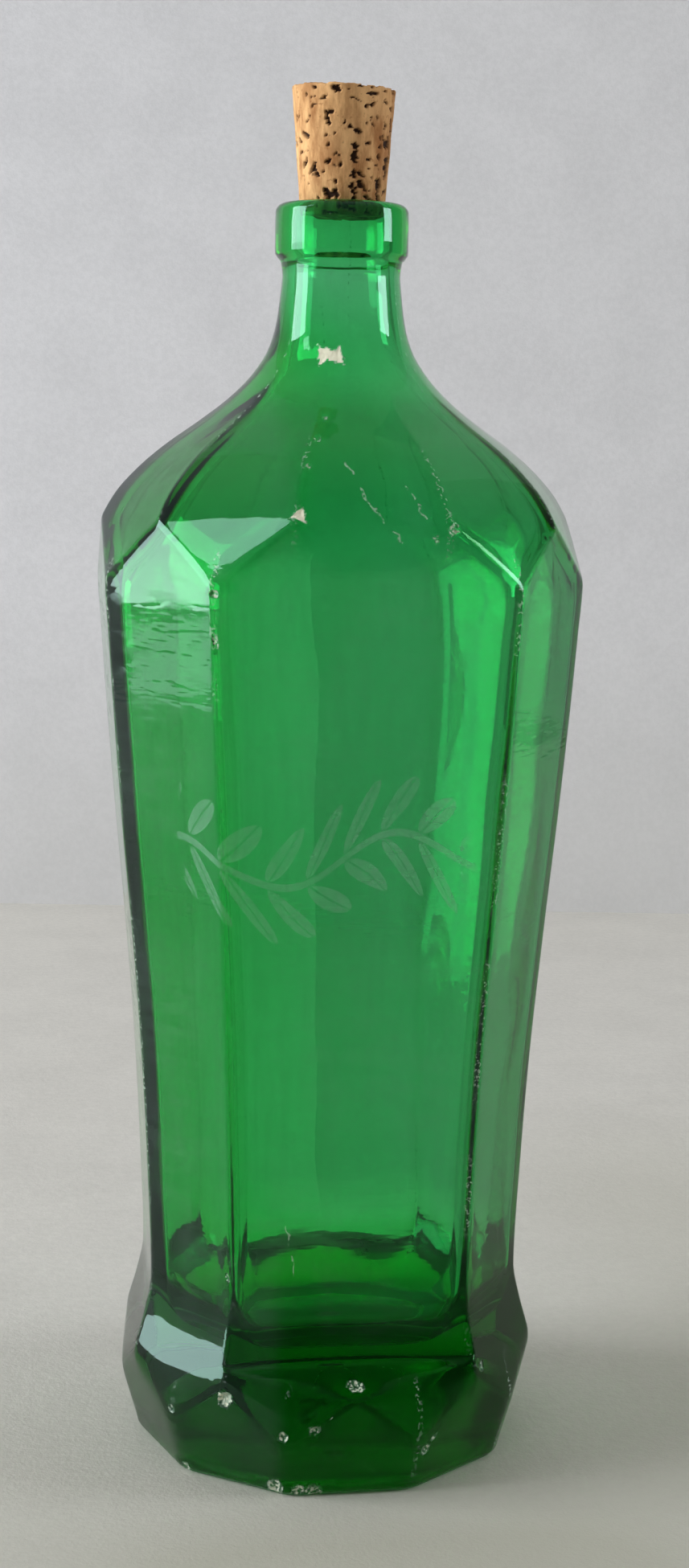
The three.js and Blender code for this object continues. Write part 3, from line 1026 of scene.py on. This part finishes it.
    def hollow(self, stack, shape):
        """Down the bore, over the shoulder's notches and on to the floor."""
        stack.is_outside = 0
        settings = shape.settings
        flat = np.ones_like(stack.angles)
        floor = settings.floor_height
        rounding = shape.FLOOR_ROUNDING
        neck = settings.neck_height - self.BORE_FOOT
        top = settings.shoulder_height + self.HOLLOW_TOP
        low = settings.shoulder_height - self.HOLLOW_LOW
        zigzag = shape.crossing(stack.angles, low, top, shape.shoulder)
        in_bore, in_neck, above, below, in_body = self.HOLLOW_RINGS
        heights = spread(shape.lip - self.BORE_TOP, neck, in_bore)
        heights += spread(neck, top, in_neck)
        heights += spread(top, zigzag + self.HOLLOW_LEAD, above)
        heights += [zigzag + past * MM for past in self.HOLLOW_FOLD]
        heights += spread(zigzag - self.HOLLOW_LEAD, low, below)
        heights += spread(low, floor + rounding, in_body)
        for height in heights:
            self.hollow_level(stack, shape, height * flat, 1)
        shares = Curve(FLOOR_SHARES)
        for rise in self.FLOOR_RISES:
            self.hollow_level(stack, shape, (floor + rounding * rise) * flat, float(shares.at(rise)))
        for share in self.FLOOR_MIDDLE:
            self.hollow_level(stack, shape, floor * flat, share)

    def waves(self, angles, heights, pattern):
        """Blown glass is a little uneven, outside and inside."""
        turn, start, rise = pattern
        return np.array([
            noise.noise(Vector((turn * math.sin(angle), turn * math.cos(angle), start + height * rise)))
            for angle, height in zip(angles, heights)])

    def level(self, stack, shape, heights):
        """One ring of the outside, whose waves only run inwards."""
        waves = self.waves(stack.angles, heights, self.OUTER_WAVE)
        inward = (1 + np.clip(waves, -1, 1)) / 2
        stack.to(shape.radius(stack.angles, heights) - self.OUTER_DEPTH * inward, heights)

    def hollow_level(self, stack, shape, heights, share):
        """One ring of the hollow, whose waves fade out up the neck."""
        lowest = shape.settings.floor_height + shape.FLOOR_ROUNDING
        radii = shape.radius(stack.angles, np.maximum(heights, lowest)) * share
        waves = self.waves(stack.angles, heights, self.INNER_WAVE) * self.INNER_DEPTH
        fade = np.clip((self.WAVE_TOP - heights) / self.WAVE_FADE, 0, 1) * min(share, 1)
        stack.to(radii + waves * fade, heights)


class CorkLook:
    """Pale cork with a brown grain, with shade painted on its right, and dark in its pits."""

    # Each noise: its fineness, for each axis or for all, then its detail and roughness.
    GRAIN = ((260, 260, 72.8), 5, 0.62)
    CLOUD = (90, 3, 0.6)
    FLECK = (900, 3, 0.6)

    # Where each noise, and the painted shade on the right, fades in, and how strong each is.
    GRAINED = (0.36, 0.66)
    CLOUDED, CLOUD_SHARE = (0.35, 0.7), 0.4
    FLECKED, FLECK_SHARE = (0.6, 0.72), 0.6
    SHADED, SHADE_SHARE = (-1 * MM, 9 * MM), 0.35
    WARM = (0.92, 0.56, 0.26, 1)
    ROUGHNESS, GLOSS = 0.86, 0.25
    BUMP_DEPTH, BUMP_STRENGTH = 0.25 * MM, 0.8

    def material(self, settings):
        paint = Paint(bpy.data.materials.new("natural_cork"))
        grain = paint.noise(*self.GRAIN)
        fleck = paint.noise(*self.FLECK)
        clouds = paint.noise(*self.CLOUD).ramp(*self.CLOUDED) * self.CLOUD_SHARE
        # Painted shade: the cork's right side darkened towards its brown.
        shade = paint.axes()["X"].ramp(*self.SHADED) * self.SHADE_SHARE
        brown = (*settings.brown, 1)
        colour = paint.mixed(grain.ramp(*self.GRAINED), brown, (*settings.pale, 1))
        for share, other in ((clouds, self.WARM),
                             (fleck.ramp(*self.FLECKED) * self.FLECK_SHARE, brown),
                             (shade, brown),
                             (paint.attribute("pit"), (*settings.pit, 1))):
            colour = paint.mixed(share, colour, other)
        inputs = {
            "Base Color": colour,
            "Roughness": self.ROUGHNESS,
            "Specular IOR Level": self.GLOSS,
            "Normal": paint.bump((grain + fleck) / 2, self.BUMP_DEPTH, self.BUMP_STRENGTH),
        }
        return paint.surface(paint.principled(inputs))


class BOTTLE_OT_cork(Operator):
    """Build the tapered cork with its pits, in place of its faceted solid"""

    bl_idname = "bottle.cork"
    bl_label = "Cork"

    BOTTOM_RADIUS = 8.5 * MM
    BOTTOM_WEAR = 0.4 * MM
    WEAR = 0.7 * MM
    COLUMNS = 264
    BOTTOM_SHARES = (0, 0.15, 0.35, 0.6, 0.8, 0.93)
    TOP_SHARES = (0.9, 0.86, 0.8, 0.74, 0.67, 0.6, 0.52, 0.44, 0.36, 0.27, 0.18, 0.08, 0)
    BOTTOM_RINGS, SIDE_RINGS, TOP_RINGS = 3, 96, 4

    # How far the skin swells and sinks, and how the top edge is worn down.
    UNEVEN, UNEVEN_DEPTH, SKIN_DEPTH = ((0.12, 260),), 1 * MM, 0.1 * MM
    WORN_HEIGHT = 6 * MM
    RAGGED, RAGGED_MIDDLE = ((0.5, 420), (0.3, 1300)), 0.3
    SLANT_MIDDLE, SLANT_RIGHT, SLANT_FRONT = 0.5, 24 * MM, 40 * MM
    WORN_ALL, WORN_SLANT, WORN_RAGGED = 0.25, 0.7, 0.5

    # Pits: their noises, and what lets more of them through.
    PIT_FINENESS = (560, 560, 700)
    PIT_NOISES = ((1, 1), (0.5, 2.1), (0.2, 4.3))
    PIT_THRESHOLD, PIT_EDGE, PIT_DARKNESS = 0.4, 0.13, 1.6
    PATCH_FINENESS, PATCH_START, PATCH_SHARE = 170, Vector((5, 3, 1)), 0.36
    RIGHT_START, RIGHT_WIDTH, RIGHT_SHARE = 3 * MM, 5 * MM, 0.2
    RIM_HEIGHT, RIM_SHARE = 1.6 * MM, 0.16

    def execute(self, context):
        settings = context.scene.cork_settings
        low, high = CORK_LOW.z, CORK_HIGH.z
        top = (CORK_HIGH.x - CORK_LOW.x) / 2
        bottom = self.BOTTOM_RADIUS
        profile = [(bottom * share, low) for share in self.BOTTOM_SHARES]
        for turn in spread(0, math.pi / 2, self.BOTTOM_RINGS):
            height = low + self.BOTTOM_WEAR * (1 - math.cos(turn))
            profile.append((bottom - self.BOTTOM_WEAR * (1 - math.sin(turn)), height))
        for height in spread(low + self.BOTTOM_WEAR, high - self.WEAR, self.SIDE_RINGS):
            profile.append((bottom + (top - bottom) * (height - low) / (high - low), height))
        for turn in spread(0, math.pi / 2, self.TOP_RINGS):
            height = high - self.WEAR * (1 - math.sin(turn))
            profile.append((top - self.WEAR * (1 - math.cos(turn)), height))
        profile += [(top * share, high) for share in self.TOP_SHARES]
        stack = RingStack(np.arange(self.COLUMNS) * 2 * math.pi / self.COLUMNS)
        for radius, height in profile:
            stack.to(radius, height)
        mesh = stack.close()
        self.wear(mesh, settings)
        piece = finish_object(mesh, "tapered_cork", CorkLook().material(settings))
        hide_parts("cork")
        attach(piece, "stopper")
        return {"FINISHED"}

    def wear(self, mesh, settings):
        """Pits sink into the cork and are kept as an attribute, and its top edge is worn down."""
        layer = mesh.verts.layers.float.new("pit")
        mesh.normal_update()
        moves = {}
        for vert in mesh.verts:
            place = vert.co
            depth = self.pit(place)
            vert[layer] = min(1, depth * self.PIT_DARKNESS)
            uneven = unevenness(place, self.UNEVEN) * self.UNEVEN_DEPTH - self.SKIN_DEPTH
            moves[vert] = vert.normal * (uneven - depth * settings.pit_depth)
            near_top = max(0, 1 - (CORK_HIGH.z - place.z) / self.WORN_HEIGHT)
            ragged = max(0, self.RAGGED_MIDDLE + unevenness(place, self.RAGGED))
            slant = max(0, self.SLANT_MIDDLE + place.x / self.SLANT_RIGHT - place.y / self.SLANT_FRONT)
            worn = self.WORN_ALL + self.WORN_SLANT * slant + self.WORN_RAGGED * ragged
            moves[vert].z -= near_top * near_top * MM * worn
        for vert, move in moves.items():
            vert.co += move

    def pit(self, place):
        """Small ragged pits that gather in patches, more on the right and at the top edge."""
        stretched = Vector([along * fineness for along, fineness in zip(place, self.PIT_FINENESS)])
        patch = noise.noise(place * self.PATCH_FINENESS + self.PATCH_START)
        right = (1 + math.tanh((place.x + self.RIGHT_START) / self.RIGHT_WIDTH)) / 2
        rim = max(0, 1 - (CORK_HIGH.z - place.z) / self.RIM_HEIGHT)
        more = self.RIGHT_SHARE * right + self.PATCH_SHARE * patch + self.RIM_SHARE * rim
        value = unevenness(stretched, self.PIT_NOISES)
        return clipped((value - self.PIT_THRESHOLD + more) / self.PIT_EDGE)


class BOTTLE_OT_stage(Operator):
    """Build the floor, the wall behind, the lights and the camera"""

    bl_idname = "bottle.stage"
    bl_label = "Stage"

    AZIMUTH, YAW = math.radians(-8.53), math.radians(0.276)
    PITCH, ROLL = math.radians(8.81), math.radians(0.93)
    FRAME = 36
    CLIP_START = 10 * MM
    BOUNCES = {"max_bounces": 24, "transmission_bounces": 20, "glossy_bounces": 8}

    FLOOR_SIZE, WALL_SIZE = (1.5, 2.6), (1.5, 2)
    WALL_BEHIND = 0.54

    # The paper: each noise's fineness, detail and roughness, and what it does.
    CLOUD, CLOUDED, CLOUD_SHARE = (26, 4, 0.66), (0.3, 0.7), 0.42
    GRAIN, GRAINED, GRAIN_SHARE = (420, 4, 0.7), (0.35, 0.65), 0.4
    FLECK, FLECK_SHARE = (1300, 2, 0.5), 0.5
    # Shares of the paper's colour in its darker grain, and under the painted shade.
    DARK, DIM = (0.86, 0.86, 0.86), (0.72, 0.72, 0.66)
    PAPER_ROUGHNESS, PAPER_GLOSS = 0.9, 0.2
    PAPER_DEPTH, PAPER_STRENGTH = 0.25 * MM, 0.5

    # Painted shade and shadow on the paper: how much dimmer, then an axis and two places on it for each
    # fade.
    FLOOR_DIM = (
        # The floor darker in front and on the right, with a soft shadow painted in front of the bottle.
        (0.55, ("Y", 0.1, -0.09)),
        (0.55, ("X", 0.02, 0.13), ("Y", 0.26, 0.12)),
        (0.75, ("Y", -0.03, -0.08), ("Y", -0.2, -0.1), ("X", -0.075, -0.02), ("X", 0.075, 0.03)),
    )
    # Painted shade: the wall darker on the right and towards the floor.
    WALL_DIM = ((0.12, ("X", -0.15, 0.3)), (0.36, ("Z", 0.18, 0.0)))

    # Each window: the degrees round to its middle, its width in degrees, its lowest and
    # highest places, and its share of the windows' radiance.
    WINDOW_DISTANCE = 2.2
    WINDOW_COLOUR = (0.9, 0.96, 1.0)
    WINDOWS = {
        "window_left": (-81.5, 29, 0.3, 1.45, 1),
        "window_sill": (-81.5, 29, -0.165, 0.3, 0.66),
        "window_ground": (-81.5, 29, -0.31, -0.225, 0.2),
        "window_right": (86.5, 18, 0.35, 1.25, 0.95),
        "window_high": (-64, 12, 1.6, 2.3, 0.5),
    }

    # The room is dimmer in front and on the right: between which directions, and by how much.
    ROOM_COLOUR = (1, 0.98, 0.95, 1)
    ROOM_FRONT, ROOM_FRONT_SHARE = (-0.9, 0.2), 0.35
    ROOM_RIGHT, ROOM_RIGHT_SHARE = (0.3, 0.95), 0.4

    def execute(self, context):
        settings = context.scene.stage_settings
        self.floor(settings)
        self.wall(settings)
        self.lights(context, settings)
        self.camera(context, settings)
        return {"FINISHED"}

    def towards_camera(self, azimuth):
        return Vector((math.sin(azimuth), -math.cos(azimuth), 0))

    def sheet(self, name, width, depth, place, material):
        mesh = bmesh.new()
        bmesh.ops.create_grid(mesh, x_segments=2, y_segments=2, size=0.5)
        bmesh.ops.scale(mesh, vec=(width, depth, 1), verts=mesh.verts)
        bmesh.ops.transform(mesh, matrix=place, verts=mesh.verts)
        made = finish_object(mesh, name, material)

    def paper(self, name, colour, patches):
        """Plain grey paper with a faint grain, with shade and shadow painted on in patches, and clear
        from behind.
        """
        paint = Paint(bpy.data.materials.new(name))
        axes = paint.axes()
        cloud = paint.noise(*self.CLOUD).ramp(*self.CLOUDED) * self.CLOUD_SHARE
        grain = paint.noise(*self.GRAIN)
        dark, dim = [(*np.multiply(colour, shares), 1) for shares in (self.DARK, self.DIM)]
        pale_share = cloud + grain.ramp(*self.GRAINED) * self.GRAIN_SHARE
        tone = paint.mixed(pale_share, dark, (*colour, 1))
        relief = grain + paint.noise(*self.FLECK) * self.FLECK_SHARE
        # The paper's colour dims where shade and shadow are painted on.
        sheet = paint.principled({
            "Base Color": paint.mixed(self.dimness(axes, patches), tone, dim),
            "Roughness": self.PAPER_ROUGHNESS,
            "Specular IOR Level": self.PAPER_GLOSS,
            "Normal": paint.bump(relief, self.PAPER_DEPTH, self.PAPER_STRENGTH),
        })
        clear = paint.node("ShaderNodeBsdfTransparent")
        from_behind = paint.node("ShaderNodeNewGeometry", output="Backfacing")
        return paint.surface(paint.mixed_shader(from_behind, sheet, clear))

    def dimness(self, axes, patches):
        total = 0
        for share, *fades in patches:
            for axis, start, end in fades:
                share = axes[axis].ramp(start, end) * share
            total = share + total
        return total.smaller(1)

    def floor(self, settings):
        paper = self.paper("floor_paper", settings.floor_colour, self.FLOOR_DIM)
        self.sheet("floor", *self.FLOOR_SIZE, Matrix.Rotation(-self.AZIMUTH, 4, "Z"), paper)

    def wall(self, settings):
        back = self.towards_camera(self.AZIMUTH) * -self.WALL_BEHIND
        width, height = self.WALL_SIZE
        upright = Matrix.Rotation(self.AZIMUTH, 4, "Z") @ Matrix.Rotation(math.pi / 2, 4, "X")
        place = Matrix.Translation(back + Vector((0, 0, height / 2))) @ upright
        paper = self.paper("wall_paper", settings.wall_colour, self.WALL_DIM)
        self.sheet("wall", width, height, place, paper)

    def window(self, name, azimuth, width, low, high, radiance):
        """An upright light that fills a stretch of the horizon, seen from the bottle."""
        data = bpy.data.lights.new(name, "AREA")
        data.shape = "RECTANGLE"
        data.size = 2 * self.WINDOW_DISTANCE * math.tan(math.radians(width) / 2)
        data.size_y = high - low
        data.energy = math.pi * data.size * data.size_y * radiance
        data.color = self.WINDOW_COLOUR
        made = bpy.data.objects.new(name, data)
        bpy.context.scene.collection.objects.link(made)
        outward = self.towards_camera(self.AZIMUTH + math.radians(azimuth))
        place = outward * self.WINDOW_DISTANCE + Vector((0, 0, (low + high) / 2))
        turn = outward.to_track_quat("Z", "Y").to_matrix().to_4x4()
        made.matrix_world = Matrix.Translation(place) @ turn

    def lights(self, context, settings):
        for name, (*window, share) in self.WINDOWS.items():
            self.window(name, *window, share * settings.window_radiance)
        room = Paint(bpy.data.worlds.new("room"), "ShaderNodeOutputWorld")
        axes = room.axes(room.node("ShaderNodeTexCoord", output="Generated"))
        full = settings.room_strength
        depth = axes["Y"].between(*self.ROOM_FRONT, full * self.ROOM_FRONT_SHARE, full)
        side = axes["X"].between(*self.ROOM_RIGHT, 1, self.ROOM_RIGHT_SHARE)
        inputs = {"Color": self.ROOM_COLOUR, "Strength": depth * side}
        context.scene.world = room.surface(room.node("ShaderNodeBackground", {}, inputs))

    def camera(self, context, settings):
        data = bpy.data.cameras.new("camera")
        data.lens = settings.lens
        data.sensor_width = self.FRAME
        data.clip_start = self.CLIP_START
        made = bpy.data.objects.new("camera", data)
        context.scene.collection.objects.link(made)
        heading = self.YAW - self.AZIMUTH
        ahead = Vector((math.sin(heading), math.cos(heading), 0))
        forward = ahead * math.cos(self.PITCH) - Vector((0, 0, math.sin(self.PITCH)))
        right = forward.cross(Vector((0, 0, 1))).normalized()
        upward = right.cross(forward)
        rolled_right = right * math.cos(self.ROLL) + upward * math.sin(self.ROLL)
        rolled_up = upward * math.cos(self.ROLL) - right * math.sin(self.ROLL)
        turn = Matrix((rolled_right, rolled_up, -forward)).transposed().to_4x4()
        place = self.towards_camera(self.AZIMUTH) * settings.distance + Vector((0, 0, settings.height))
        made.matrix_world = Matrix.Translation(place) @ turn
        context.scene.camera = made
        context.scene.view_settings.view_transform = "Standard"
        for name, count in self.BOUNCES.items():
            setattr(context.scene.cycles, name, count)


class BOTTLE_PT_panel(Panel):
    """Lists the bottle's pieces and their sizes"""

    bl_idname = "BOTTLE_PT_panel"
    bl_label = "Seltzer Bottle"
    bl_space_type = "VIEW_3D"
    bl_region_type = "UI"
    bl_category = "Bottle"

    def draw(self, context):
        layout = self.layout
        for operator in OPERATORS:
            layout.operator(operator.bl_idname)
        for name in SETTINGS:
            group = getattr(context.scene, name)
            box = layout.box()
            for key in group.__annotations__:
                box.prop(group, key)


OPERATORS = (BOTTLE_OT_stage, BOTTLE_OT_glass, BOTTLE_OT_cork)
SETTINGS = {
    "bottle_settings": BottleSettings,
    "cork_settings": CorkSettings,
    "stage_settings": StageSettings,
}


def register():
    for kind in (*SETTINGS.values(), *OPERATORS, BOTTLE_PT_panel):
        bpy.utils.register_class(kind)
    for name, kind in SETTINGS.items():
        setattr(bpy.types.Scene, name, PointerProperty(type=kind))


def unregister():
    for name in SETTINGS:
        delattr(bpy.types.Scene, name)
    for kind in (BOTTLE_PT_panel, *reversed(OPERATORS), *SETTINGS.values()):
        bpy.utils.unregister_class(kind)


def main():
    register()
    bpy.ops.bottle.stage()
    bpy.ops.bottle.glass()
    bpy.ops.bottle.cork()


if __name__ == "__main__":
    main()
